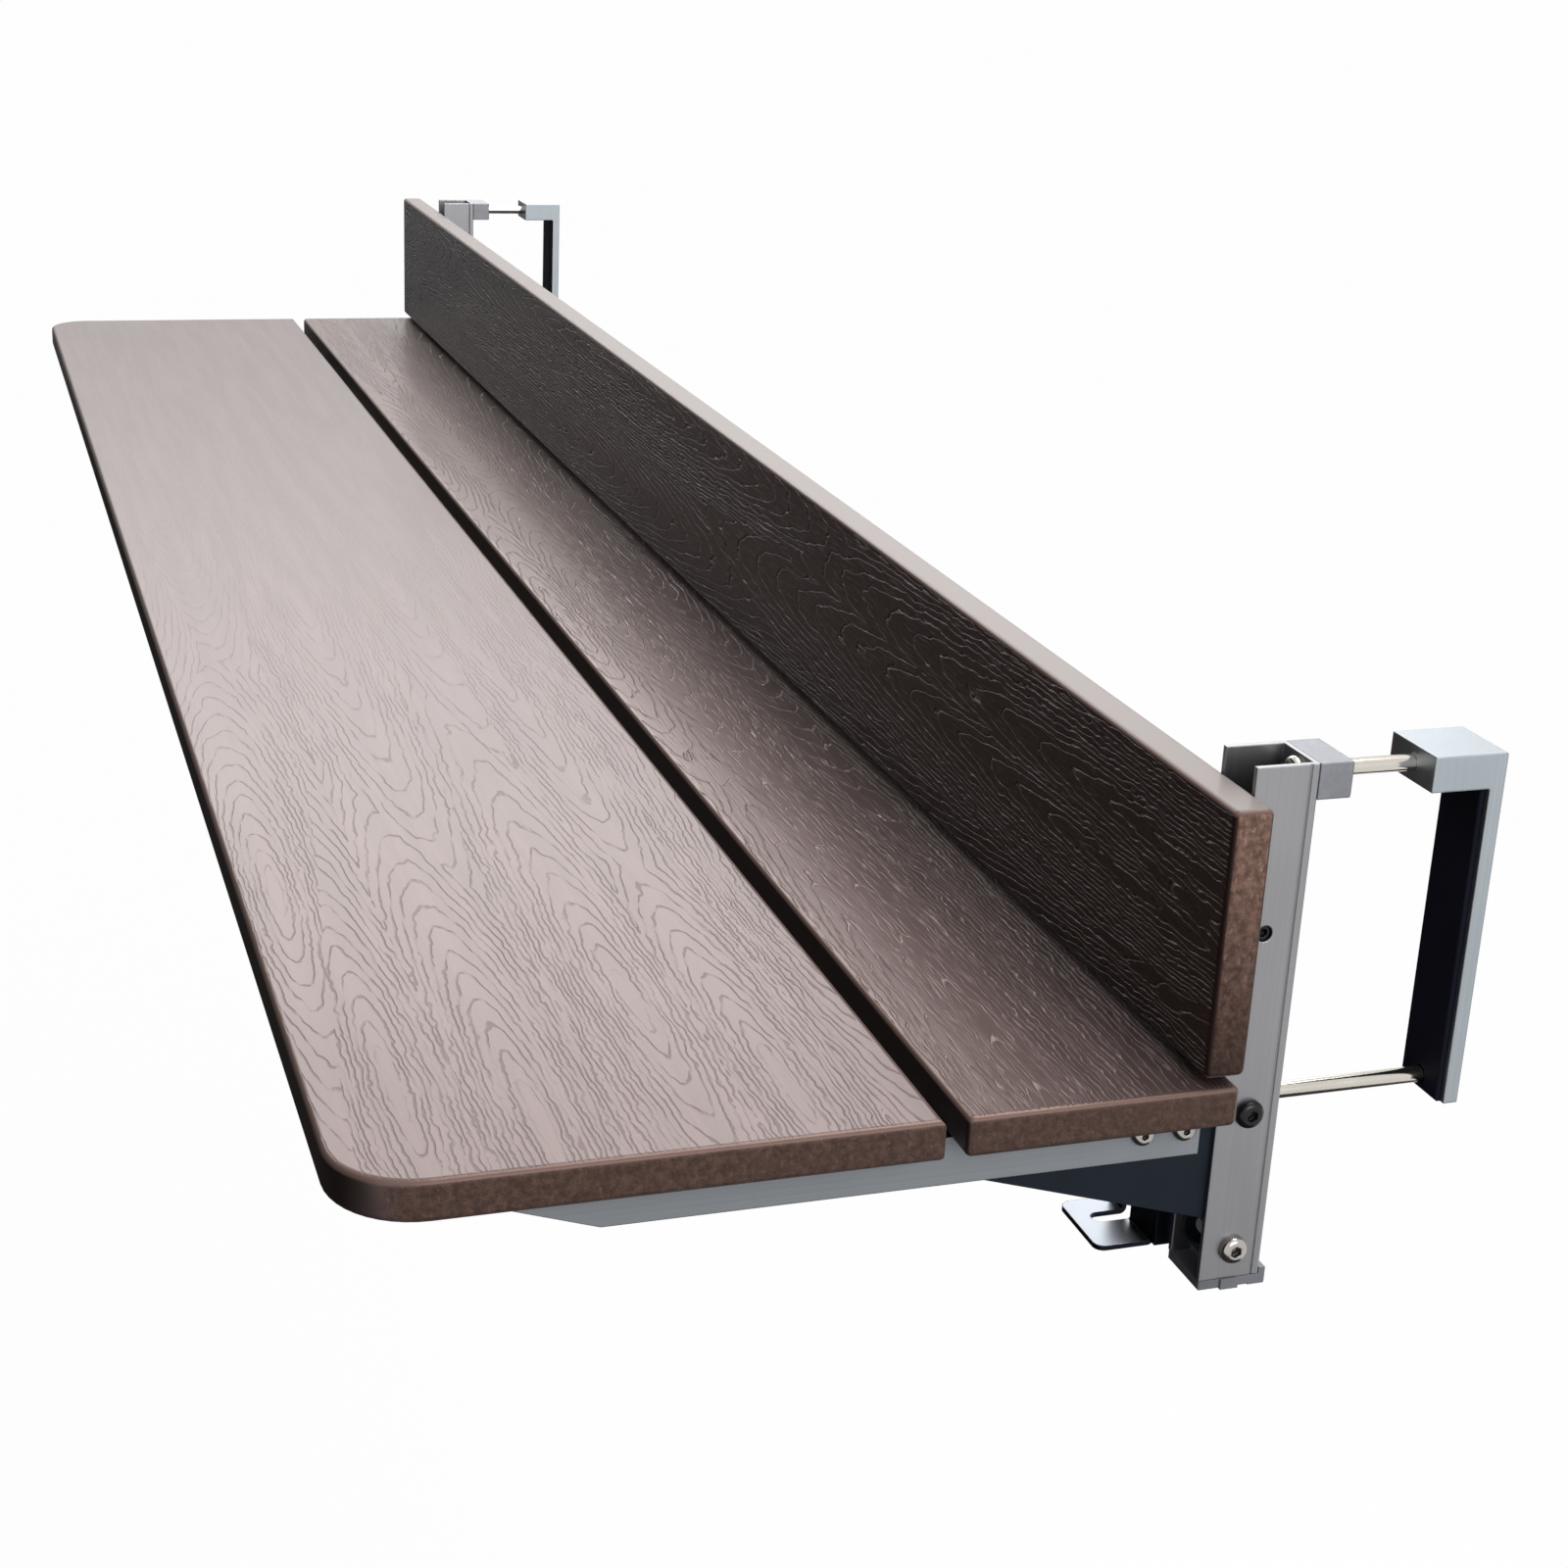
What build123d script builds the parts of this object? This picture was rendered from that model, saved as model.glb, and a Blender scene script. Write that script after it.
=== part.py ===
from build123d import *
import os

# Folding table that hangs on a balcony railing. Millimetres.
# Origin: mid-length, on the back face of the posts, at the height of the rail's top.
# +X is the right-hand end, -Y the front edge, +Z up.

# Boards
LENGTH = 1500.0
FRONT_PLANK_W = 200.0
REAR_PLANK_W = 100.0
PLANK_GAP = 8.0
BOARD_T = 15.0
BOARD_ROUND = 2.5
FRONT_CORNER_R = 30.0
BACKBOARD_H = 97.0
BACKBOARD_GAP = 4.0
SHELF_DROP = 97.0
SHELF_CLEAR = 1.0

# Posts
RIGHT_POST_INSET = 27.5
LEFT_POST_INSET = 90.0
POST_W = 24.0
POST_D = 24.0
POST_WALL = 2.0
POST_LEN = 195.0
POST_ROUND = 0.8
GROOVE_W = 0.9
GROOVE_DEPTH = 0.5
GROOVE_FROM_BACK = 3.4
CAP_T = 4.0
CAP_CHAMFER = 0.6
CAP_PLUG_H = 1.8
CAP_PLUG_FROM_FRONT = 8.0
CAP_TAB_W = 7.0
CAP_TAB_OUT = 1.0
CAP_LIP_D = 3.0
CAP_LIP_RISE = 2.5
CAP_LIP_ROUND = 1.0

# Railing clamp
GUIDE_D = 13.0
GUIDE_H = 13.0
GUIDE_CHAMFER = 0.6
JAW_OPEN = 64.0
PAD_T = 2.0
PAD_W = 23.5
PAD_CHAMFER = 0.5
HOOK_W = 28.0
HOOK_BLOCK_D = 28.5
HOOK_LEG_T = 5.5
HOOK_DROP = 120.5
HOOK_ROUND = 1.0
LOWER_ROD_FROM_TIP = 5.5
ROD_D = 6.0
ROD_TAIL_SHORT = 0.5

# Fold and lock
AXIS_FROM_BACK = 12.0
PIVOT_RISE = 12.0
LOCK_BELOW_SHELF = 4.0
LUG_PIVOT_R = 9.0
LUG_LOCK_R = 8.0
BUSH_D = 9.0
SPACER_D = 12.0
BRACKET_T = 2.5
BRACE_REACH = 89.5
BRACE_FOOT_RISE = 12.6
BRACE_TONGUE = 11.5
BRACKET_BACK_CLEAR = 2.5
BRACKET_TOP_CLEAR = 0.5
BRACKET_HEEL = 4.0
FOLD_FROM_POST = 3.0

# Arm
ARM_WALL = 1.8
ARM_H = 18.0
ARM_FROM_POST = 6.0
ARM_TAPER_START = 221.0
ARM_NOSE = 260.0
ARM_NOSE_H = 5.0

# Anchor bracket
ANCHOR_T = 2.0
ANCHOR_REACH = 34.0
ANCHOR_INSET = 4.0
ANCHOR_FRONT = 27.0
ANCHOR_BEND = 6.0
ANCHOR_RISE = 22.0
ANCHOR_CORNER_R = 4.0
ANCHOR_BEND_R = 0.8
ANCHOR_EAR_LAP = 6.0
SLOT_W = 7.0
SLOT_FROM_SIDE = 20.0
SLOT_FROM_FRONT = 7.0
SLOT_UPTURN = 7.0

# Fixings
BOLT_D = 6.0
BUTTON_D = 10.5
BUTTON_H = 3.3
BOLT_TAIL = 1.0
SOCKET_AF = 4.0
SOCKET_DEPTH = 2.0
HEAD_ROUND = 2.3
NUT_AF = 10.0
NUT_H = 5.0
SMALL_BOLT_D = 4.0
SMALL_HEAD_D = 8.0
SMALL_HEAD_H = 2.4
SMALL_HEAD_ROUND = 1.7
SMALL_SOCKET_AF = 2.5
SMALL_SOCKET_DEPTH = 1.4
SMALL_NUT_AF = 7.0
SMALL_NUT_H = 3.2
WOOD_SCREW_D = 4.0
WOOD_SCREW_BITE = 10.0
WOOD_HEAD_D = 7.6
WOOD_HEAD_H = 2.4
WOOD_HEAD_ROUND = 1.4
SCREW_POINT_D = 0.8
CROSS_L = 4.2
CROSS_W = 0.9
CROSS_DEPTH = 1.0
ARM_BOLT_Z = 7.6
ARM_BOLT_FRONTS = (12.4, 28.3)
PLANK_SCREW_FRONTS = (21.0, 81.0, 136.0, 211.0)
CLEAT_D = 18.0
CLEAT_H = 40.0
CLEAT_FROM_TOP = 60.7
CLEAT_SCREW_FROM_FRONT = 10.0
CLEAT_SCREW_D = 6.0
CLEAT_SCREW_RECESS = 1.0
CLEAT_SCREW_RIM = 0.5
CLEAT_SCREW_END = 2.0
CLEAT_SOCKET_AF = 3.0
BACKBOARD_SCREW_PITCH = 28.0
ACCESS_D = 9.0

# Clearances
RUN = 0.05
SIDE_CLEAR = 0.2
SLOT_CLEAR = 0.4
OVERCUT = 1.0

# Levels and planes that follow from the sizes
RIGHT_POST_X = LENGTH / 2 - RIGHT_POST_INSET
LEFT_POST_X = LEFT_POST_INSET - LENGTH / 2
POST_TOP = GUIDE_H
POST_BOTTOM = POST_TOP - POST_LEN
POST_FRONT = -POST_D
SHELF_TOP = -SHELF_DROP
SHELF_UNDER = SHELF_TOP - BOARD_T
REAR_PLANK_BACK = POST_FRONT - SHELF_CLEAR
REAR_PLANK_FRONT = REAR_PLANK_BACK - REAR_PLANK_W
FRONT_PLANK_BACK = REAR_PLANK_FRONT - PLANK_GAP
FRONT_PLANK_FRONT = FRONT_PLANK_BACK - FRONT_PLANK_W
BACKBOARD_BOTTOM = SHELF_TOP + BACKBOARD_GAP
BACKBOARD_TOP = BACKBOARD_BOTTOM + BACKBOARD_H
BACKBOARD_FRONT = POST_FRONT - BOARD_T
LEG_FRONT = JAW_OPEN + PAD_T
LEG_BACK = LEG_FRONT + HOOK_LEG_T
UPPER_ROD_Z = GUIDE_H / 2
LOWER_ROD_Z = -HOOK_DROP + LOWER_ROD_FROM_TIP
PIVOT_Y = -AXIS_FROM_BACK
PIVOT_Z = POST_BOTTOM + PIVOT_RISE
LOCK_Z = SHELF_UNDER - LOCK_BELOW_SHELF
LOCK_RISE = LOCK_Z - PIVOT_Z
CHANNEL_W = POST_W - 2 * POST_WALL
BRACKET_W = CHANNEL_W - 2 * SIDE_CLEAR
ARM_W = BRACKET_W + 2 * ARM_WALL
ARM_UNDER = SHELF_UNDER - ARM_H
ARM_TOP_UNDER = SHELF_UNDER - ARM_WALL
ARM_BOLT_LEVEL = SHELF_UNDER - ARM_BOLT_Z
BRACE_FOOT_Z = PIVOT_Z + BRACE_FOOT_RISE
CLEAT_Z = POST_TOP - CLEAT_FROM_TOP
ROD_R = ROD_D / 2
BOLT_R = BOLT_D / 2


def span(x0, x1, y0, y1, z0, z1):
    """A block between two corners."""
    return Pos((x0 + x1) / 2, (y0 + y1) / 2, (z0 + z1) / 2) * Box(x1 - x0, y1 - y0, z1 - z0)


def rod_x(radius, x0, x1, y, z):
    return Pos((x0 + x1) / 2, y, z) * Rot(0, 90, 0) * Cylinder(radius, x1 - x0)


def rod_y(radius, y0, y1, x, z):
    return Pos(x, (y0 + y1) / 2, z) * Rot(90, 0, 0) * Cylinder(radius, y1 - y0)


def rod_z(radius, z0, z1, x, y):
    return Pos(x, y, (z0 + z1) / 2) * Cylinder(radius, z1 - z0)


def side_plate(points, x0, x1):
    """An outline in (y, z) carried along X from x0 to x1."""
    return Pos(x0, 0, 0) * extrude(Plane.YZ * make_face(Polyline(*points, close=True)), x1 - x0)


def hexagon(across_flats, height):
    return extrude(RegularPolygon(across_flats / 2, 6, major_radius=False), height)


def button_screw(shank_d, length, head_d, head_h, head_round, socket_af, socket_depth):
    """Domed socket screw along Z, head up, its seat at Z 0."""
    dome = extrude(Circle(head_d / 2), head_h)
    dome = fillet(dome.edges().group_by(Axis.Z)[-1], head_round)
    dome -= Pos(0, 0, head_h - socket_depth) * hexagon(socket_af, socket_depth)
    return dome + Pos(0, 0, -length) * extrude(Circle(shank_d / 2), length)


def nut(across_flats, height, bore_d):
    """Hex nut along Z, standing on Z 0, its top corners eased at 45 degrees."""
    blank = hexagon(across_flats, height)
    cone = Pos(0, 0, height / 2) * Cone(across_flats / 2 + height, across_flats / 2, height)
    return (blank & cone) - Cylinder(bore_d / 2, 4 * height)


def cross_recess():
    """A cross that cuts to its depth below Z 0."""
    return Box(CROSS_L, CROSS_W, 2 * CROSS_DEPTH) + Box(CROSS_W, CROSS_L, 2 * CROSS_DEPTH)


def wood_screw(length):
    """Countersunk screw along Z, its flat head up, head top at Z 0."""
    radius = WOOD_SCREW_D / 2
    head = Pos(0, 0, -WOOD_HEAD_H / 2) * Cone(radius, WOOD_HEAD_D / 2, WOOD_HEAD_H)
    tip = Pos(0, 0, radius - length) * Cone(SCREW_POINT_D / 2, radius, WOOD_SCREW_D)
    shank = Pos(0, 0, WOOD_SCREW_D - length) * extrude(
        Circle(radius), length - WOOD_SCREW_D - WOOD_HEAD_H / 2
    )
    return head + shank + tip - cross_recess()


AS_BOLT = Rot(0, 90, 0)
TO_BACK = Rot(-90, 0, 0)
TO_FRONT = Rot(90, 0, 0)


def pan_screw():
    """Plank screw along Z, pointing up, the seat of its round head at Z 0."""
    radius = WOOD_SCREW_D / 2
    reach = ARM_WALL + WOOD_SCREW_BITE
    head = Pos(0, 0, -WOOD_HEAD_H) * extrude(Circle(WOOD_HEAD_D / 2), WOOD_HEAD_H)
    head = fillet(head.edges().group_by(Axis.Z)[0], WOOD_HEAD_ROUND)
    shank = extrude(Circle(radius), reach - WOOD_SCREW_D)
    tip = Pos(0, 0, reach - radius) * Cone(radius, SCREW_POINT_D / 2, WOOD_SCREW_D)
    return head + shank + tip - Pos(0, 0, -WOOD_HEAD_H) * cross_recess()


def plank_screw_spots():
    return [POST_FRONT - front for front in PLANK_SCREW_FRONTS]


def backboard_screw_levels():
    return [CLEAT_Z - BACKBOARD_SCREW_PITCH / 2, CLEAT_Z + BACKBOARD_SCREW_PITCH / 2]


def post():
    outer = Pos(0, -POST_D / 2) * Rectangle(POST_W, POST_D)
    outer = fillet(outer.vertices().group_by(Axis.Y)[-1], POST_ROUND)
    hollow = Pos(0, -(POST_D + POST_WALL) / 2) * Rectangle(CHANNEL_W, POST_D - POST_WALL)
    section = outer - hollow
    for side in (-1, 1):
        section -= Pos(side * POST_W / 2, -GROOVE_FROM_BACK) * Rectangle(2 * GROOVE_DEPTH, GROOVE_W)
    body = Pos(0, 0, POST_BOTTOM) * extrude(section, POST_LEN)
    for z in (UPPER_ROD_Z, LOWER_ROD_Z):
        body -= rod_y(ROD_R + RUN, -POST_D, POST_D, 0, z)
    body -= rod_x(BOLT_R, -POST_W, POST_W, PIVOT_Y, PIVOT_Z)
    body -= rod_x(BOLT_R + RUN, -POST_W, POST_W, PIVOT_Y, LOCK_Z)
    body -= rod_x(CLEAT_SCREW_D / 2, 0, POST_W, POST_FRONT + CLEAT_SCREW_FROM_FRONT, CLEAT_Z)
    for z in backboard_screw_levels():
        body -= rod_y(ACCESS_D / 2, -POST_WALL - OVERCUT, OVERCUT, 0, z)
    return body


def post_end_cap():
    """Plastic cap under the post: plate, plug in the channel, side tabs and a bumper lip at the back."""
    low = POST_BOTTOM - CAP_T
    outline = fillet((Pos(0, -POST_D / 2) * Rectangle(POST_W, POST_D)).vertices(), POST_ROUND)
    plate = Pos(0, 0, low) * extrude(outline, CAP_T)
    plate = chamfer(plate.edges().group_by(Axis.Z)[0], CAP_CHAMFER)
    plug = span(
        -CHANNEL_W / 2, CHANNEL_W / 2, POST_FRONT + CAP_PLUG_FROM_FRONT, -POST_WALL,
        POST_BOTTOM, POST_BOTTOM + CAP_PLUG_H,
    )
    tab_x = POST_W / 2 + CAP_TAB_OUT
    tab_y = -POST_D / 2
    tabs = span(-tab_x, tab_x, tab_y - CAP_TAB_W / 2, tab_y + CAP_TAB_W / 2, low, POST_BOTTOM)
    lip = span(-POST_W / 2, POST_W / 2, -CAP_T, CAP_LIP_D, low, POST_BOTTOM)
    lip += span(-POST_W / 2, POST_W / 2, 0, CAP_LIP_D, low, POST_BOTTOM + CAP_LIP_RISE)
    lip = fillet(lip.edges().group_by(Axis.Y)[-1], CAP_LIP_ROUND)
    return plate + plug + tabs + lip


def rod_guide_block():
    block = span(-POST_W / 2, POST_W / 2, 0, GUIDE_D, 0, GUIDE_H)
    block = chamfer(block.edges().group_by(Axis.Y)[-1], GUIDE_CHAMFER)
    return block - rod_y(ROD_R + RUN, -OVERCUT, GUIDE_D + OVERCUT, 0, UPPER_ROD_Z)


def hook_bracket():
    block_front = LEG_BACK - HOOK_BLOCK_D
    points = [
        (block_front, 0), (block_front, GUIDE_H), (LEG_BACK, GUIDE_H),
        (LEG_BACK, -HOOK_DROP), (LEG_FRONT, -HOOK_DROP), (LEG_FRONT, 0),
    ]
    section = make_face(Polyline(*points, close=True))
    for corner in ((LEG_BACK, GUIDE_H), (LEG_FRONT, 0)):
        section = fillet(section.vertices().sort_by_distance(corner)[0], HOOK_ROUND)
    body = Pos(-HOOK_W / 2, 0, 0) * extrude(Plane.YZ * section, HOOK_W)
    body -= rod_y(ROD_R + RUN, block_front - OVERCUT, LEG_BACK + OVERCUT, 0, UPPER_ROD_Z)
    body -= rod_y(ROD_R + RUN, LEG_FRONT - OVERCUT, LEG_BACK + OVERCUT, 0, LOWER_ROD_Z)
    return body


def hook_pad():
    lining = span(-PAD_W / 2, PAD_W / 2, JAW_OPEN, LEG_FRONT, -HOOK_DROP, -HOOK_ROUND)
    lining = chamfer(lining.edges().group_by(Axis.Y)[0], PAD_CHAMFER)
    return lining - rod_y(ROD_R + SLOT_CLEAR, JAW_OPEN - OVERCUT, LEG_FRONT + OVERCUT, 0, LOWER_ROD_Z)


def tie_rod(z):
    length = LEG_BACK - ROD_TAIL_SHORT + POST_WALL
    screw = button_screw(ROD_D, length, BUTTON_D, BUTTON_H, HEAD_ROUND, SOCKET_AF, SOCKET_DEPTH)
    return Pos(0, -POST_WALL, z) * TO_FRONT * screw


def arm():
    nose = POST_FRONT - ARM_NOSE
    outline = [
        (POST_FRONT - ARM_FROM_POST, SHELF_UNDER), (POST_FRONT - ARM_FROM_POST, ARM_UNDER),
        (POST_FRONT - ARM_TAPER_START, ARM_UNDER), (nose, SHELF_UNDER - ARM_NOSE_H), (nose, SHELF_UNDER),
    ]
    body = side_plate(outline, -ARM_W / 2, ARM_W / 2)
    body -= span(
        -BRACKET_W / 2, BRACKET_W / 2, nose - OVERCUT, POST_FRONT, ARM_UNDER - OVERCUT, ARM_TOP_UNDER
    )
    for front in ARM_BOLT_FRONTS:
        body -= rod_x(SMALL_BOLT_D / 2, -POST_W, POST_W, POST_FRONT - front, ARM_BOLT_LEVEL)
    for y in plank_screw_spots():
        body -= rod_z(WOOD_SCREW_D / 2, ARM_UNDER, SHELF_UNDER + OVERCUT, 0, y)
    return body


def hinge_bracket():
    """Folded U: a brace under the arm, a lug on the pivot and a lug that slides off the lock bolt."""
    half = BRACKET_W / 2
    inner = half - BRACKET_T
    tip_y = POST_FRONT - BRACE_REACH
    nose_y = tip_y - BRACE_TONGUE
    slope = (BRACE_FOOT_Z - ARM_UNDER) / BRACE_REACH
    nose_z = ARM_UNDER + slope * (nose_y - tip_y)
    heel_y = POST_FRONT + BRACKET_HEEL
    heel_z = PIVOT_Z + BRACKET_HEEL
    back_y = -POST_WALL - BRACKET_BACK_CLEAR
    top_z = ARM_TOP_UNDER - BRACKET_TOP_CLEAR
    outline = [
        (nose_y, nose_z), (POST_FRONT, BRACE_FOOT_Z), (heel_y, heel_z), (back_y, heel_z),
        (back_y, LOCK_Z), (PIVOT_Y, top_z), (nose_y, top_z),
    ]
    body = side_plate(outline, -half, half)
    body += rod_x(LUG_PIVOT_R, -half, half, PIVOT_Y, PIVOT_Z)
    body += rod_x(LUG_LOCK_R, -half, half, PIVOT_Y, LOCK_Z)
    rise = BRACKET_T * (1 + slope * slope) ** 0.5
    fold_y = POST_FRONT - FOLD_FROM_POST
    fold_z = BRACE_FOOT_Z + slope * (fold_y - POST_FRONT) + rise
    open_z = nose_z - slope * OVERCUT + rise
    inside = [
        (nose_y - OVERCUT, open_z), (fold_y, fold_z), (fold_y, POST_BOTTOM),
        (POST_D, POST_BOTTOM), (POST_D, SHELF_TOP), (nose_y - OVERCUT, SHELF_TOP),
    ]
    body -= side_plate(inside, -inner, inner)
    body -= rod_x(BUSH_D / 2, -POST_W, POST_W, PIVOT_Y, PIVOT_Z)
    groove = BOLT_R + SLOT_CLEAR
    ring = rod_x(LOCK_RISE + groove, -POST_W, POST_W, PIVOT_Y, PIVOT_Z)
    ring -= rod_x(LOCK_RISE - groove, -POST_W, POST_W, PIVOT_Y, PIVOT_Z)
    ring &= span(-POST_W, POST_W, PIVOT_Y, POST_D, PIVOT_Z, POST_TOP)
    body -= ring
    body -= rod_x(groove, -POST_W, POST_W, PIVOT_Y, LOCK_Z)
    for front in ARM_BOLT_FRONTS:
        body -= rod_x(SMALL_BOLT_D / 2, -POST_W, POST_W, POST_FRONT - front, ARM_BOLT_LEVEL)
    return body


def tube_x(outer_d, bore_d, length, y, z):
    shell = rod_x(outer_d / 2, -length / 2, length / 2, y, z)
    return shell - rod_x(bore_d / 2, -length, length, y, z)


def pivot_bush():
    return tube_x(BUSH_D, BOLT_D + 2 * RUN, BRACKET_W, PIVOT_Y, PIVOT_Z)


def lock_spacer():
    return tube_x(SPACER_D, BOLT_D + 2 * RUN, BRACKET_W - 2 * BRACKET_T - 2 * SIDE_CLEAR, PIVOT_Y, LOCK_Z)


def cross_bolt(z, length):
    screw = button_screw(BOLT_D, length, BUTTON_D, BUTTON_H, HEAD_ROUND, SOCKET_AF, SOCKET_DEPTH)
    return Pos(POST_W / 2, PIVOT_Y, z) * AS_BOLT * screw


def cross_nut(x, z, bore_d):
    return Pos(x, PIVOT_Y, z) * Rot(0, -90, 0) * nut(NUT_AF, NUT_H, bore_d)


def anchor_bracket():
    """Bent plate on the pivot bolt: an ear on the post's side, an upright across and a slotted foot."""
    t = ANCHOR_T
    face = -POST_W / 2
    side = face - ANCHOR_INSET
    front = POST_FRONT - ANCHOR_FRONT
    bend = POST_FRONT - ANCHOR_BEND
    low = POST_BOTTOM
    top = low + ANCHOR_RISE
    ell = make_face(Polyline(
        (front, low), (bend + t, low), (bend + t, top), (bend, top), (bend, low + t), (front, low + t),
        close=True,
    ))
    ell = fillet(ell.vertices().sort_by_distance((bend + t, low))[0], ANCHOR_BEND_R + t)
    ell = fillet(ell.vertices().sort_by_distance((bend, low + t))[0], ANCHOR_BEND_R)
    foot = Pos(side - ANCHOR_REACH, 0, 0) * extrude(Plane.YZ * ell, ANCHOR_REACH)
    foot = fillet(foot.edges().filter_by(Axis.Z).group_by(Axis.Y)[0], ANCHOR_CORNER_R)
    lap = side - ANCHOR_EAR_LAP
    ear = make_face(Polyline(
        (lap, bend), (face, bend), (face, -POST_WALL), (face - t, -POST_WALL),
        (face - t, bend + t), (lap, bend + t), close=True,
    ))
    ear = fillet(ear.vertices().sort_by_distance((face - t, bend + t))[0], ANCHOR_BEND_R)
    body = foot + Pos(0, 0, low + t) * extrude(ear, ANCHOR_RISE - t)
    slot_x = side - SLOT_FROM_SIDE
    slot_y = front + SLOT_FROM_FRONT + SLOT_W / 2
    body -= rod_z(SLOT_W / 2, low - OVERCUT, low + t + OVERCUT, slot_x, slot_y)
    body -= span(
        slot_x - SLOT_W / 2, slot_x + SLOT_W / 2, slot_y, bend + t + OVERCUT, low - OVERCUT, low + SLOT_UPTURN
    )
    return body - rod_x(BOLT_R, face - t - OVERCUT, face + OVERCUT, PIVOT_Y, PIVOT_Z)


def backboard_cleat():
    half = CHANNEL_W / 2
    back = POST_FRONT + CLEAT_D
    block = span(-half, half, POST_FRONT, back, CLEAT_Z - CLEAT_H / 2, CLEAT_Z + CLEAT_H / 2)
    block -= rod_x(CLEAT_SCREW_D / 2, CLEAT_SCREW_END, POST_W, POST_FRONT + CLEAT_SCREW_FROM_FRONT, CLEAT_Z)
    for z in backboard_screw_levels():
        block -= rod_y(WOOD_SCREW_D / 2, POST_FRONT - OVERCUT, back + OVERCUT, 0, z)
        block -= Pos(0, back - WOOD_HEAD_H / 2, z) * TO_BACK * Cone(
            WOOD_SCREW_D / 2, WOOD_HEAD_D / 2, WOOD_HEAD_H
        )
    return block


def cleat_screw():
    """Socket set screw, sunk a little below the outer face of the post's side."""
    length = POST_W / 2 - CLEAT_SCREW_RECESS - CLEAT_SCREW_END
    screw = extrude(Circle(CLEAT_SCREW_D / 2), length)
    screw = chamfer(screw.edges().group_by(Axis.Z)[-1], CLEAT_SCREW_RIM)
    screw -= Pos(0, 0, length - SOCKET_DEPTH) * hexagon(CLEAT_SOCKET_AF, SOCKET_DEPTH)
    return Pos(CLEAT_SCREW_END, POST_FRONT + CLEAT_SCREW_FROM_FRONT, CLEAT_Z) * AS_BOLT * screw


def backboard_screws():
    screw = wood_screw(CLEAT_D + WOOD_SCREW_BITE)
    return Compound([Pos(0, POST_FRONT + CLEAT_D, z) * TO_BACK * screw for z in backboard_screw_levels()])


def arm_bolts():
    bolt = button_screw(
        SMALL_BOLT_D, ARM_W + SMALL_NUT_H, SMALL_HEAD_D, SMALL_HEAD_H, SMALL_HEAD_ROUND,
        SMALL_SOCKET_AF, SMALL_SOCKET_DEPTH,
    )
    ring = nut(SMALL_NUT_AF, SMALL_NUT_H, SMALL_BOLT_D)
    pieces = []
    for front in ARM_BOLT_FRONTS:
        pieces.append(Pos(ARM_W / 2, POST_FRONT - front, ARM_BOLT_LEVEL) * AS_BOLT * bolt)
        pieces.append(Pos(-ARM_W / 2, POST_FRONT - front, ARM_BOLT_LEVEL) * Rot(0, -90, 0) * ring)
    return Compound(pieces)


def plank_screws():
    return Compound([Pos(0, y, ARM_TOP_UNDER) * pan_screw() for y in plank_screw_spots()])


ONE_SIDE = {
    "post": post(),
    "post_end_cap": post_end_cap(),
    "rod_guide_block": rod_guide_block(),
    "hook_bracket": hook_bracket(),
    "hook_pad": hook_pad(),
    "upper_tie_rod": tie_rod(UPPER_ROD_Z),
    "lower_tie_rod": tie_rod(LOWER_ROD_Z),
    "arm": arm(),
    "hinge_bracket": hinge_bracket(),
    "pivot_bush": pivot_bush(),
    "pivot_bolt": cross_bolt(PIVOT_Z, POST_W + ANCHOR_T + NUT_H + BOLT_TAIL),
    "pivot_nut": cross_nut(-POST_W / 2 - ANCHOR_T, PIVOT_Z, BOLT_D),
    "lock_bolt": cross_bolt(LOCK_Z, POST_W + NUT_H + BOLT_TAIL),
    "lock_nut": cross_nut(-POST_W / 2, LOCK_Z, BOLT_D + 2 * RUN),
    "lock_spacer": lock_spacer(),
    "anchor_bracket": anchor_bracket(),
    "backboard_cleat": backboard_cleat(),
    "cleat_screw": cleat_screw(),
    "backboard_screws": backboard_screws(),
    "arm_bolts": arm_bolts(),
    "plank_screws": plank_screws(),
}


def plain_board(y0, y1, z0, z1):
    board = span(-LENGTH / 2, LENGTH / 2, y0, y1, z0, z1)
    return fillet(board.edges(), BOARD_ROUND)


def front_plank():
    outline = Pos(0, (FRONT_PLANK_FRONT + FRONT_PLANK_BACK) / 2) * Rectangle(LENGTH, FRONT_PLANK_W)
    outline = fillet(outline.vertices().group_by(Axis.Y)[0], FRONT_CORNER_R)
    board = Pos(0, 0, SHELF_UNDER) * extrude(outline, BOARD_T)
    levels = board.edges().group_by(Axis.Z)
    return fillet(levels[0] + levels[-1], BOARD_ROUND)


def drilled(board, holes):
    for hole in holes:
        board -= hole
    return board


POST_XS = (RIGHT_POST_X, LEFT_POST_X)
PLANK_HOLES = [
    rod_z(WOOD_SCREW_D / 2, SHELF_UNDER - OVERCUT, SHELF_UNDER + WOOD_SCREW_BITE, x, y)
    for x in POST_XS
    for y in plank_screw_spots()
]
BACKBOARD_HOLES = [
    rod_y(WOOD_SCREW_D / 2, POST_FRONT - WOOD_SCREW_BITE, POST_FRONT + OVERCUT, x, z)
    for x in POST_XS
    for z in backboard_screw_levels()
]
NODES = {
    "front_plank": drilled(front_plank(), PLANK_HOLES),
    "rear_plank": drilled(
        plain_board(REAR_PLANK_FRONT, REAR_PLANK_BACK, SHELF_UNDER, SHELF_TOP), PLANK_HOLES
    ),
    "backboard": drilled(
        plain_board(BACKBOARD_FRONT, POST_FRONT, BACKBOARD_BOTTOM, BACKBOARD_TOP), BACKBOARD_HOLES
    ),
}
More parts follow.
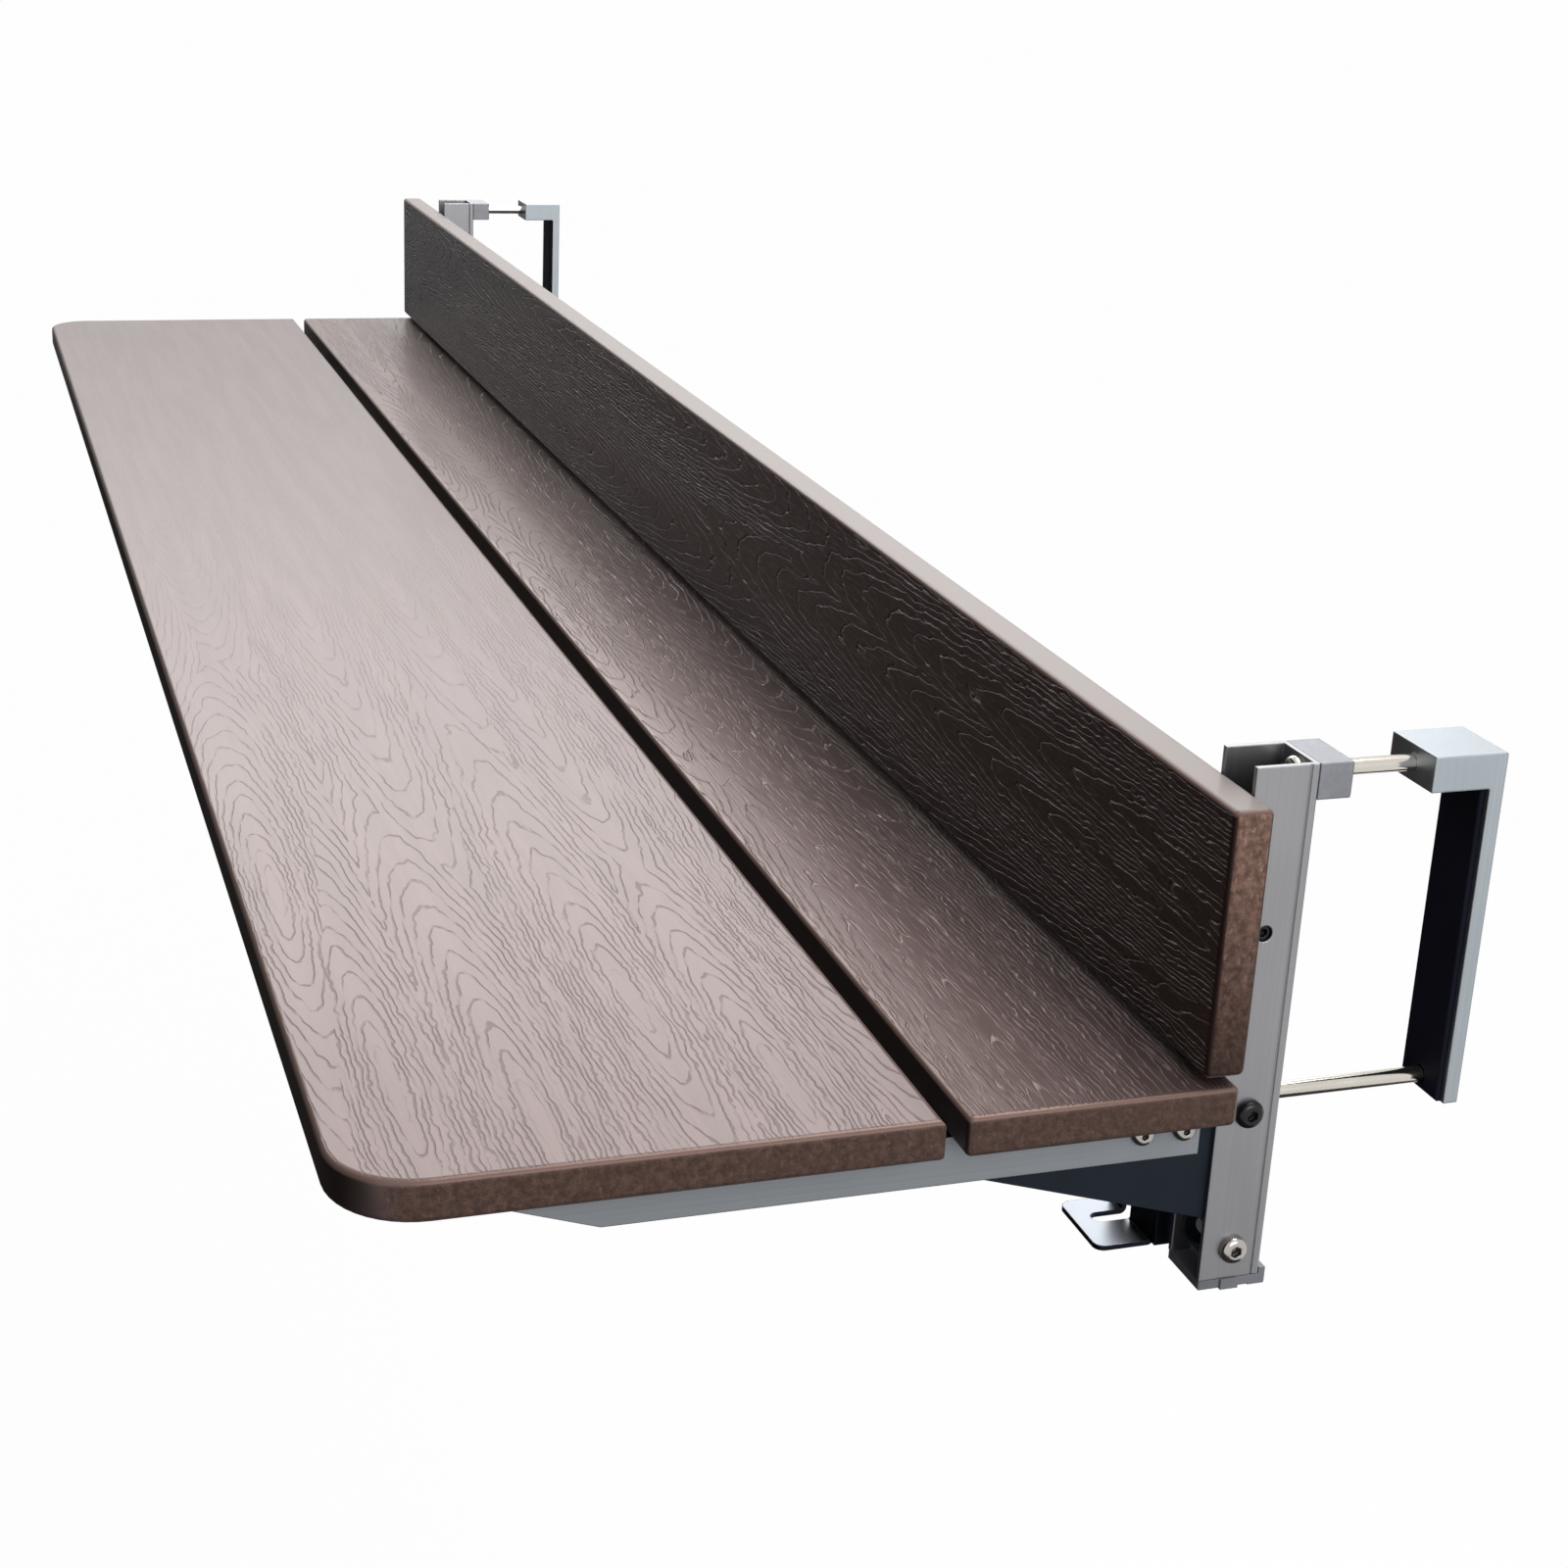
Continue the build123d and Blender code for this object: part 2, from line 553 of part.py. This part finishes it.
for name, shape in ONE_SIDE.items():
    NODES["right_" + name] = Pos(RIGHT_POST_X, 0, 0) * shape
    NODES["left_" + name] = Pos(LEFT_POST_X, 0, 0) * mirror(shape, about=Plane.YZ)

os.makedirs("parts", exist_ok=True)
for name, shape in NODES.items():
    export_step(shape, "parts/" + name + ".step")
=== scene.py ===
import bpy
from mathutils import Matrix, Vector


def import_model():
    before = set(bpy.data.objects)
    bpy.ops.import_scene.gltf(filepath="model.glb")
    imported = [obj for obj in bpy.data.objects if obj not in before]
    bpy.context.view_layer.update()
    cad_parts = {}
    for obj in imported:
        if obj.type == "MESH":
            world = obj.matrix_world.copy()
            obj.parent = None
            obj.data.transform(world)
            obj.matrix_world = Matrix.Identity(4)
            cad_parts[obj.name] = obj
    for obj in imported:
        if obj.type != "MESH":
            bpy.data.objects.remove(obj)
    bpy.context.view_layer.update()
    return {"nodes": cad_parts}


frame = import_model()
NODES = frame["nodes"]
SCENE = bpy.context.scene
SIDES = ("right", "left")
WHITE = (1.0, 1.0, 1.0, 1.0)

# Camera, worked out for a square picture
LENS = 58.527
SENSOR = 36.0
CAMERA_AT = (1.43669, -0.43450, 0.28869)
CAMERA_RIGHT = (0.313152, 0.948606, 0.045627)
CAMERA_UP = (-0.337421, 0.066223, 0.939022)
CAMERA_BACK = (0.887741, -0.309452, 0.340817)

# Studio
FLOOR_Z = -2.0
FLOOR_SIZE = 400.0
FLOOR_WHITE = 0.98
FLOOR_PAINT = (0.9, 0.9, 0.9, 1.0)
AMBIENT = 0.42
BLACK_CARD = 0.05
GREY_CARD = 0.75

# Grain of the boards: nested arches, drawn as rings around the middles of long narrow cells
FULL_TURN = 6.28318
GRAIN_PITCH = 0.0021  # metres from ring to ring, across the board
ARCH_SCALE = (1.8, 25.0, 0.0)  # cells per metre, along and across the board
ARCH_BEND = (0.9, 0.22, 0.0)  # cells by which slow noise shifts the arches
WOBBLE = (2.3, 0.45)  # rings by which coarse noise moves a line, and the share of that at an arch's tip
JITTER = (1.0, 0.12)  # the same for fine noise
LEAST_STEEP = 0.10
LINE_WIDTH = 0.80
CALM_MIDDLE = (0.04, 0.10)  # distance from a cell's middle over which the lines set in, in cells
WEAR_SPAN = (-0.20, 0.64)  # X over which a worn board's lines come back
PORE_DEPTH = 0.12  # as a share of the lines' depth

# Other looks of the boards
SKIN_IOR = 1.55
SKIN_TINT = (1.0, 0.66, 0.58, 1.0)
SKIN_SPREAD = 0.15
EDGE_ROUND = 0.0004
# painted highlight on the boards' upper eased edges: its colour and how much of it they take
EDGE_HIGHLIGHT = (0.150, 0.098, 0.082)
EDGE_HIGHLIGHT_SHARE = 0.8
END_DARK = (0.036, 0.021, 0.017)
END_LIGHT = (0.102, 0.062, 0.048)
END_FIBRE = (0.185, 0.114, 0.090)
# on the backboard the sawn end's gain is painted light from above: lighter at the top, darker at the foot
END_SPAN = (-0.11, 0.01)  # Z over which the sawn end's gain runs
END_RELIEF = 0.0009
FLAT_FACE = (0.90, 0.985)
SAWN_FACE = (0.80, 0.97)
# narrow faces that take a painted colour: shade on the planks' long sides, a reflection on the backboard's top
# and bottom
TURNED_FACE = (0.30, 0.95)
# faces that point this far up get the painted edge highlight
UPPER_EDGE = (0.10, 0.45)
# reach of the painted shade in the boards' crevices, in metres
CREVICE_SHADE_REACH = 0.010
CREVICE_ROUGH = 0.9
GROOVE_ROUGH = 0.14
SIDE_ROUGH = 0.12
SAWN_ROUGH = 0.35


# Shader nodes

def put(tree, kind, sockets=None, **settings):
    """Adds a shader node. A socket's value is a number, a tuple or another node's output."""
    node = tree.nodes.new("ShaderNode" + kind)
    for key, value in settings.items():
        setattr(node, key, value)
    for key, value in (sockets or {}).items():
        if isinstance(value, bpy.types.NodeSocket):
            tree.links.new(value, node.inputs[key])
        else:
            node.inputs[key].default_value = value
    return node


def calc(tree, operation, a, b=0.0):
    return put(tree, "Math", {0: a, 1: b}, operation=operation).outputs[0]


def product(tree, first, *others):
    for other in others:
        first = calc(tree, "MULTIPLY", first, other)
    return first


def vector_calc(tree, operation, a, b):
    return put(tree, "VectorMath", {0: a, 1: b}, operation=operation).outputs[0]


def ramp(tree, value, low, high, to_low=0.0, to_high=1.0):
    """Smooth step of a value from low to high."""
    sockets = {0: value, 1: low, 2: high, 3: to_low, 4: to_high}
    return put(tree, "MapRange", sockets, interpolation_type="SMOOTHSTEP").outputs[0]


def blend_colour(tree, factor, a, b):
    node = put(tree, "Mix", {0: factor}, data_type="RGBA")
    for index, value in ((6, a), (7, b)):
        if isinstance(value, bpy.types.NodeSocket):
            tree.links.new(value, node.inputs[index])
        else:
            node.inputs[index].default_value = (*value, 1.0)
    return node.outputs[2]


def noise(tree, vector, scale, detail=2.0, rough=0.5):
    """Noise stretched by its scale along each axis."""
    stretched = vector_calc(tree, "MULTIPLY", vector, scale)
    sockets = {"Vector": stretched, "Scale": 1.0, "Detail": detail, "Roughness": rough}
    return put(tree, "TexNoise", sockets).outputs[0]


def bumped(tree, height, distance, strength, normal):
    sockets = {"Height": height, "Distance": distance, "Strength": strength, "Normal": normal}
    return put(tree, "Bump", sockets).outputs[0]


def soft_edges(tree, radius=EDGE_ROUND):
    return put(tree, "Bevel", {"Radius": radius}, samples=6).outputs[0]


def corner_shade(tree, distance, low, high, least=0.0):
    """Occlusion factor for painted shade: 1 in the open, down to the least in corners narrower than the distance.
    """
    shade = put(tree, "AmbientOcclusion", {"Distance": distance}, samples=8).outputs["AO"]
    return ramp(tree, shade, low, high, least, 1.0)


def object_point(tree):
    return put(tree, "TexCoord").outputs["Object"]


def facing(tree):
    """X, Y and Z of the direction that the surface faces."""
    return put(tree, "SeparateXYZ", {0: put(tree, "TexCoord").outputs["Normal"]}).outputs


def faces_along(tree, component, low, high):
    """1 where the surface faces along an axis, either way."""
    return ramp(tree, calc(tree, "ABSOLUTE", component), low, high)


def new_material(name, **sockets):
    """A Principled material; the sockets given here are constants."""
    material = bpy.data.materials.new(name)
    material.use_nodes = True
    shader = material.node_tree.nodes["Principled BSDF"]
    for key, value in sockets.items():
        shader.inputs[key.replace("_", " ")].default_value = value
    return material, material.node_tree, shader


def feed(tree, shader, **sources):
    for key, value in sources.items():
        tree.links.new(value, shader.inputs[key.replace("_", " ")])


def shades(colour, spread):
    """A darker and a lighter shade of a colour."""
    return tuple(x * (1.0 - spread) for x in colour), tuple(min(1.0, x * (1.0 + spread)) for x in colour)


# Materials

def grain_lines(tree, flat, along, seed, fade):
    """Flat-sawn grain: rings around each cell's middle, thinner and calmer at an arch's tip than on its sides."""
    drift = noise(tree, flat, (1.6, 6.0, 1.0), detail=0.0)
    sway = noise(tree, flat, (4.6, 16.0, 1.0), detail=1.0, rough=0.4)
    wobble = noise(tree, flat, (40.0, 110.0, 1.0), detail=2.0)
    jitter = noise(tree, flat, (170.0, 330.0, 1.0), detail=1.0)
    bend = put(tree, "CombineXYZ", {0: calc(tree, "ADD", drift, seed), 1: sway, 2: 0.0}).outputs[0]
    bend = vector_calc(tree, "MULTIPLY", bend, ARCH_BEND)
    arched = vector_calc(tree, "ADD", vector_calc(tree, "MULTIPLY", flat, ARCH_SCALE), bend)
    cells = put(tree, "TexVoronoi", {"Vector": arched, "Scale": 1.0}, voronoi_dimensions="2D").outputs
    nest = cells["Distance"]
    away = vector_calc(tree, "SUBTRACT", arched, cells["Position"])
    steep = calc(tree, "DIVIDE", put(tree, "SeparateXYZ", {0: away}).outputs[1], nest)
    steep = calc(tree, "MAXIMUM", product(tree, steep, steep), LEAST_STEEP)
    rings = product(tree, nest, 1.0 / (GRAIN_PITCH * ARCH_SCALE[1]))
    for field, (count, least) in ((wobble, WOBBLE), (jitter, JITTER)):
        reach = ramp(tree, steep, 0.0, 1.0, count * least, count)
        rings = calc(tree, "ADD", rings, product(tree, calc(tree, "SUBTRACT", field, 0.5), reach))
    wave = calc(tree, "SINE", product(tree, rings, FULL_TURN))
    line = ramp(tree, wave, calc(tree, "SUBTRACT", 1.0, product(tree, steep, LINE_WIDTH)), 1.0)
    calm = ramp(tree, nest, *CALM_MIDDLE)
    broken = ramp(tree, noise(tree, flat, (18.0, 300.0, 1.0), detail=2.0), 0.34, 0.56, 0.20, 1.0)
    worn = ramp(tree, along, *WEAR_SPAN, fade, 1.0)
    return product(tree, line, calm, broken, worn)


def board_material(name, seed, broad_axis, gloss, rough, depth, fade, stain_and_glint, skin, lines, sides, end_gain):
    """Wood-plastic board: embossed grain along X on the broad faces, satin skin, mottled sawn ends, and painted
    light and shade in its crevices, on its upper edges, its narrow faces and its sawn end.
    """
    material, tree, shader = new_material(
        name, IOR=SKIN_IOR, Specular_IOR_Level=gloss, Specular_Tint=SKIN_TINT)
    point = object_point(tree)
    parts = put(tree, "SeparateXYZ", {0: point}).outputs
    across = calc(tree, "ADD", parts[1], parts[2])
    flat = put(tree, "CombineXYZ", {0: parts[0], 1: across, 2: seed}).outputs[0]
    face = facing(tree)
    side_axis = 3 - broad_axis
    sawn = faces_along(tree, face[0], *SAWN_FACE)
    broad = faces_along(tree, face[broad_axis], *FLAT_FACE)
    side = faces_along(tree, face[side_axis], *FLAT_FACE)
    painted_side = faces_along(tree, face[side_axis], *TURNED_FACE)
    level = calc(tree, "MAXIMUM", broad, calc(tree, "MAXIMUM", side, sawn))
    # painted highlight mask: eased edges between the flat faces that point upward
    edge_highlight = product(tree, calc(tree, "SUBTRACT", 1.0, level), ramp(tree, face[2], *UPPER_EDGE))
    # Painted shade: the colour falls towards black in crevices, under the backboard and between the boards, and
    # the roughness rises there
    crevice_shade = corner_shade(tree, CREVICE_SHADE_REACH, 0.28, 0.66)

    groove = product(tree, grain_lines(tree, flat, parts[0], seed, fade), broad)
    pores = ramp(tree, noise(tree, flat, (55.0, 800.0, 1.0), detail=2.0), 0.52, 0.70)
    relief = calc(tree, "ADD", groove, product(tree, pores, broad, PORE_DEPTH))

    streak = noise(tree, flat, (7.0, 90.0, 1.0), detail=4.0, rough=0.6)
    top = blend_colour(tree, ramp(tree, streak, 0.35, 0.68), *shades(skin, SKIN_SPREAD))
    # the grain lines take their colour: dark grain on the front plank, and on the rear plank and backboard a
    # lighter colour that is a painted glint
    top = blend_colour(tree, product(tree, groove, stain_and_glint), top, lines)
    # Painted light and shade on the narrow faces: the planks' long sides are painted dark as shade, the
    # backboard's top and bottom painted light as a reflection
    top = blend_colour(tree, painted_side, top, sides)
    # painted highlight: the upper eased edges are lightened
    top = blend_colour(tree, product(tree, edge_highlight, EDGE_HIGHLIGHT_SHARE), top, EDGE_HIGHLIGHT)
    mottle = noise(tree, point, (260.0, 300.0, 300.0), detail=5.0, rough=0.65)
    fibre = noise(tree, point, (90.0, 900.0, 420.0), detail=3.0)
    end = blend_colour(tree, ramp(tree, mottle, 0.32, 0.70), END_DARK, END_LIGHT)
    end = blend_colour(tree, ramp(tree, fibre, 0.56, 0.76, 0.0, 0.6), end, END_FIBRE)
    # painted light: the sawn end is scaled from its foot to its top, which on the backboard makes it lighter at
    # the top as if lit from above; the planks' ends get one even gain
    end = vector_calc(tree, "MULTIPLY", end, ramp(tree, parts[2], *END_SPAN, *end_gain))
    # painted shade in crevices darkens the colour
    colour = vector_calc(tree, "MULTIPLY", blend_colour(tree, sawn, top, end), crevice_shade)

    roughness = rough
    for mask, rise in ((groove, GROOVE_ROUGH), (side, SIDE_ROUGH), (sawn, SAWN_ROUGH)):
        roughness = calc(tree, "ADD", roughness, product(tree, mask, rise))
    roughness = put(tree, "Mix", {0: crevice_shade, 2: CREVICE_ROUGH, 3: roughness}).outputs[0]
    normal = bumped(tree, relief, -depth, 1.0, soft_edges(tree))
    normal = bumped(tree, mottle, END_RELIEF, product(tree, sawn, 0.8), normal)
    feed(tree, shader, Base_Color=colour, Roughness=roughness, Normal=normal)
    return material


def metal_material(name, base, rough, lines=(900.0, 900.0, 4.0), depth=0.00003, spread=0.10,
                   edge=EDGE_ROUND, painted_shade_reach=0.0):
    """Satin metal with faint lines along its length and, within the reach given, painted shade that darkens its
    corners.
    """
    material, tree, shader = new_material(name, Metallic=1.0)
    point = object_point(tree)
    brush = noise(tree, point, lines, detail=3.0)
    cloud = noise(tree, point, (28.0, 28.0, 28.0), detail=3.0)
    mixed = calc(tree, "ADD", product(tree, brush, 0.55), product(tree, cloud, 0.45))
    colour = blend_colour(tree, ramp(tree, mixed, 0.32, 0.68), *shades(base, spread))
    if painted_shade_reach:
        # painted shade: the colour darkens in corners and where the part meets other parts
        colour = vector_calc(tree, "MULTIPLY", colour, corner_shade(tree, painted_shade_reach, 0.35, 0.95, 0.22))
    roughness = calc(tree, "ADD", rough - 0.06, product(tree, mixed, 0.12))
    normal = bumped(tree, brush, depth, 0.6, soft_edges(tree, edge))
    feed(tree, shader, Base_Color=colour, Roughness=roughness, Normal=normal)
    return material


def plate_material(name, face, edge):
    """Zinc-plated plate, bright on its level faces, with painted shade: its upright faces and cut edges take a
    dark colour.
    """
    material, tree, shader = new_material(name, Metallic=1.0)
    level = faces_along(tree, facing(tree)[2], 0.55, 0.95)
    cloud = noise(tree, object_point(tree), (60.0, 60.0, 60.0), detail=4.0)
    plate = blend_colour(tree, ramp(tree, cloud, 0.3, 0.7), tuple(x * 0.9 for x in face), face)
    # painted shade: upright faces and cut edges get the dark colour, level faces the plate's own
    colour = blend_colour(tree, level, edge, plate)
    roughness = calc(tree, "ADD", 0.28, product(tree, cloud, 0.14))
    normal = bumped(tree, cloud, 0.00004, 0.5, soft_edges(tree, 0.0006))
    feed(tree, shader, Base_Color=colour, Roughness=roughness, Normal=normal)
    return material


def grained_material(name, base, rough, size=900.0, depth=0.00006, spread=0.18, level=0.5):
    """Moulded or powder-coated surface with a fine pebbled grain."""
    material, tree, shader = new_material(name, Specular_IOR_Level=level)
    point = object_point(tree)
    pebble = noise(tree, point, (size, size, size), detail=2.0)
    cloud = noise(tree, point, (35.0, 35.0, 35.0), detail=4.0)
    colour = blend_colour(tree, ramp(tree, cloud, 0.3, 0.7), *shades(base, spread))
    roughness = calc(tree, "ADD", rough - 0.05, product(tree, pebble, 0.12))
    normal = bumped(tree, pebble, depth, 0.5, soft_edges(tree))
    feed(tree, shader, Base_Color=colour, Roughness=roughness, Normal=normal)
    return material


def dress(node, material):
    slots = NODES[node].data.materials
    slots.clear()
    slots.append(material)


# broad_axis is the axis that the broad faces look along. fade is what is left of the lines at the worn end,
# stain how far a line takes its own colour, and end_gain the sawn end's brightness at its foot and its top.
# The lines are the grain; where their colour is lighter than the skin, on the rear plank and the backboard,
# it is a painted glint. sides is the narrow faces' colour, painted shade on the planks and a painted reflection
# on the backboard, and where end_gain differs from foot to top it is painted light from above.
BOARDS = {
    "front_plank": {
        "seed": 0.0, "broad_axis": 2, "gloss": 0.50, "rough": 0.31, "depth": 0.00011, "fade": 0.15, "stain_and_glint": 0.11,
        "skin": (0.112, 0.084, 0.083), "lines": (0.010, 0.006, 0.005), "sides": (0.014, 0.009, 0.008),
        "end_gain": (0.90, 0.90),
    },
    # the rear plank's light line colour is a painted glint along the grain
    "rear_plank": {
        "seed": 2.9, "broad_axis": 2, "gloss": 0.56, "rough": 0.31, "depth": 0.00070, "fade": 1.0, "stain_and_glint": 0.80,
        "skin": (0.098, 0.064, 0.060), "lines": (0.31, 0.235, 0.225), "sides": (0.014, 0.009, 0.008),
        "end_gain": (0.78, 0.78),
    },
    # The backboard is the planks' material painted as in shade: its skin is far darker, its light sides are a
    # painted reflection, its light lines painted glints and its end_gain painted light from above.
    "backboard": {
        "seed": 8.1, "broad_axis": 1, "gloss": 0.24, "rough": 0.30, "depth": 0.00170, "fade": 1.0, "stain_and_glint": 0.80,
        "skin": (0.018, 0.0095, 0.009), "lines": (0.085, 0.066, 0.062), "sides": (0.24, 0.215, 0.205),
        "end_gain": (0.42, 2.9),
    },
}
for board, settings in BOARDS.items():
    dress(board, board_material("composite_" + board, **settings))

ANODISED = metal_material("anodised_post", (0.305, 0.305, 0.318), 0.38, spread=0.05, edge=0.0008)
GUIDE = metal_material("guide_block", (0.25, 0.253, 0.272), 0.48, edge=0.0009, lines=(300.0, 300.0, 300.0))
HOOK = metal_material("anodised_hook", (0.38, 0.415, 0.445), 0.40, spread=0.05, edge=0.0010)
# the arm and the stainless parts get painted shade where they meet other parts
ARM = metal_material(
    "anodised_arm", (0.29, 0.31, 0.33), 0.36, spread=0.05, lines=(900.0, 4.0, 900.0), painted_shade_reach=0.03)
STAINLESS = metal_material(
    "stainless", (0.44, 0.41, 0.38), 0.14, lines=(300.0, 300.0, 300.0), depth=0.00001, painted_shade_reach=0.009)
ROD = metal_material(
    "stainless_rod", (0.62, 0.585, 0.53), 0.12, lines=(40.0, 40.0, 40.0), depth=0.00001, spread=0.05)
ZINC = metal_material("zinc_plate", (0.50, 0.53, 0.57), 0.28, lines=(120.0, 120.0, 120.0))
# the second colour is painted shade for the anchor's upright faces and cut edges
PLATE = plate_material("anchor_plate", (0.28, 0.30, 0.33), (0.016, 0.019, 0.027))
COATED = grained_material("black_coat", (0.0085, 0.0135, 0.022), 0.46, level=0.16)
BOLT_BLACK = grained_material("black_oxide", (0.006, 0.006, 0.0075), 0.26, size=600.0, level=0.3)
RUBBER = grained_material("pad_rubber", (0.0062, 0.0068, 0.0150), 0.62, level=0.12)
CAP = grained_material("cap_plastic", (0.17, 0.175, 0.198), 0.46)
CLEAT = grained_material("cleat_plastic", (0.02, 0.02, 0.021), 0.5)
NYLON = grained_material("bush_nylon", (0.62, 0.61, 0.58), 0.5)

FINISH = {
    "post": ANODISED, "post_end_cap": CAP, "rod_guide_block": GUIDE, "hook_bracket": HOOK, "hook_pad": RUBBER,
    "upper_tie_rod": ROD, "lower_tie_rod": ROD, "arm": ARM, "hinge_bracket": COATED, "pivot_bush": NYLON,
    "pivot_bolt": STAINLESS, "pivot_nut": STAINLESS, "lock_bolt": BOLT_BLACK, "lock_nut": STAINLESS,
    "lock_spacer": NYLON, "anchor_bracket": PLATE, "backboard_cleat": CLEAT, "cleat_screw": BOLT_BLACK,
    "backboard_screws": ZINC, "arm_bolts": STAINLESS, "plank_screws": ZINC,
}
for side in SIDES:
    for part, finish in FINISH.items():
        dress(side + "_" + part, finish)


# Studio: floor, cards, world, lights and camera

def add_object(name, data):
    thing = bpy.data.objects.new(name, data)
    SCENE.collection.objects.link(thing)
    return thing


def seen_directly(tree):
    """1 for the rays that show the background itself: camera, glossy and transmission rays."""
    path = put(tree, "LightPath").outputs
    mirrored = calc(tree, "MAXIMUM", path["Is Glossy Ray"], path["Is Transmission Ray"])
    return calc(tree, "MAXIMUM", path["Is Camera Ray"], mirrored)


def stage_mesh(name, points, faces):
    mesh = bpy.data.meshes.new(name)
    mesh.from_pydata(points, [], faces)
    material = bpy.data.materials.new(name)
    material.use_nodes = True
    tree = material.node_tree
    tree.nodes.remove(tree.nodes["Principled BSDF"])
    mesh.materials.append(material)
    thing = add_object(name, mesh)
    return thing, tree


def floor():
    half = FLOOR_SIZE / 2
    corners = [(-half, -half, FLOOR_Z), (half, -half, FLOOR_Z), (half, half, FLOOR_Z), (-half, half, FLOOR_Z)]
    _, tree = stage_mesh("floor", corners, [(0, 1, 2, 3)])
    paint = put(tree, "BsdfDiffuse", {"Color": FLOOR_PAINT}).outputs[0]
    glow = put(tree, "Emission", {"Color": WHITE, "Strength": 1.0}).outputs[0]
    share = product(tree, seen_directly(tree), FLOOR_WHITE)
    mixed = put(tree, "MixShader", {0: share, 1: paint, 2: glow}).outputs[0]
    tree.links.new(mixed, tree.nodes["Material Output"].inputs["Surface"])


def card(name, albedo, points, faces):
    """A plain card out of the picture, there for what the surfaces reflect."""
    thing, tree = stage_mesh(name, points, faces)
    paint = put(tree, "BsdfDiffuse", {"Color": (albedo, albedo, albedo, 1.0)}).outputs[0]
    tree.links.new(paint, tree.nodes["Material Output"].inputs["Surface"])
    thing.visible_camera = False


def cards():
    """Dark cards in front, below and on the far left for contrast, and a grey one low beyond the far end."""
    front, wing, back, near, far = -1.6, -0.95, 0.45, 1.5, -3.4
    low, sill, high = -0.7, 0.08, 1.9
    points = [
        (near, front, low), (far, front, low), (far, front, high), (near, front, high),
        (near, back, low), (far, back, low), (far, front, sill), (far, wing, sill), (far, wing, high),
    ]
    card("black_cards", BLACK_CARD, points, [(0, 1, 2, 3), (0, 4, 5, 1), (6, 7, 8, 2)])
    beyond = [(far, front, low), (far, back, low), (far, back, sill), (far, front, sill)]
    card("grey_card", GREY_CARD, beyond, [(0, 1, 2, 3)])


def world():
    """White to the rays that show the background, a plain ambient level to all others."""
    sky = bpy.data.worlds.new("studio")
    sky.use_nodes = True
    tree = sky.node_tree
    tree.nodes.clear()
    soft = put(tree, "Background", {"Color": WHITE, "Strength": AMBIENT}).outputs[0]
    white = put(tree, "Background", {"Color": WHITE, "Strength": 1.0}).outputs[0]
    mixed = put(tree, "MixShader", {0: seen_directly(tree), 1: soft, 2: white}).outputs[0]
    tree.links.new(mixed, put(tree, "OutputWorld").inputs["Surface"])
    SCENE.world = sky


def softbox(name, at, target, width, height, watts):
    lamp = bpy.data.lights.new(name, "AREA")
    lamp.shape = "RECTANGLE"
    lamp.size = width
    lamp.size_y = height
    lamp.energy = watts
    box = add_object(name, lamp)
    aim = (Vector(target) - Vector(at)).to_track_quat("-Z", "Y")
    box.matrix_world = Matrix.Translation(at) @ aim.to_matrix().to_4x4()
    box.visible_camera = False


def camera():
    data = bpy.data.cameras.new("camera")
    data.lens = LENS
    data.sensor_width = SENSOR
    eye = add_object("camera", data)
    axes = Matrix((CAMERA_RIGHT, CAMERA_UP, CAMERA_BACK)).transposed()
    eye.matrix_world = Matrix.Translation(CAMERA_AT) @ axes.to_4x4()
    SCENE.camera = eye


floor()
cards()
world()
camera()
softbox("top_box", (0.3, 0.75, 2.45), (0.2, -0.2, -0.1), 1.8, 1.2, 46.0)
softbox("far_panel", (-2.5, 0.6, 1.60), (0.4, -0.2, 0.0), 2.6, 1.6, 45.0)
softbox("end_box", (3.2, 0.4, 1.0), (0.4, -0.1, -0.1), 1.6, 1.6, 40.0)

SCENE.view_settings.view_transform = "Standard"
